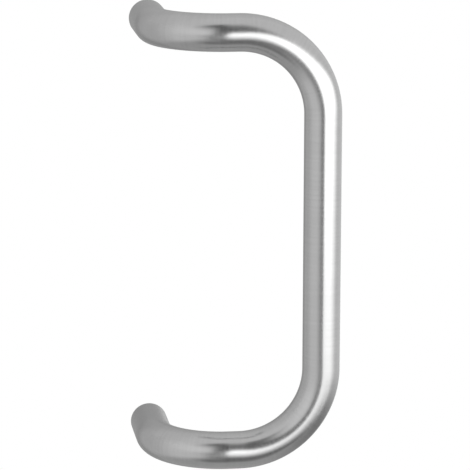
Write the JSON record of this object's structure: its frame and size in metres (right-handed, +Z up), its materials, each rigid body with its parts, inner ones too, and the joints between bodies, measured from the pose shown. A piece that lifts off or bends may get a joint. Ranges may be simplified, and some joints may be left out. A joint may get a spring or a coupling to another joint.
{
  "type": "door pull handle",
  "caption": "Cranked door pull handle bent from one round satin steel bar, with an upright grip beside its bolt fixings and a tapped hole in the end of each foot.",
  "frame": {"origin": "on the door face, midway between the two fixing holes, whose full bores start 0.9 mm inside the feet", "axes": "+Z up along the grip, +Y into the door, grip on the +X side and standing off the door towards -Y"},
  "size_m": [0.106, 0.074, 0.245],
  "materials": {
    "satin_steel": "fine satin, brushed round the bar"
  },
  "bodies": {
    "root": {"pull_bar": "satin_steel"}
  },
  "joints": []
}
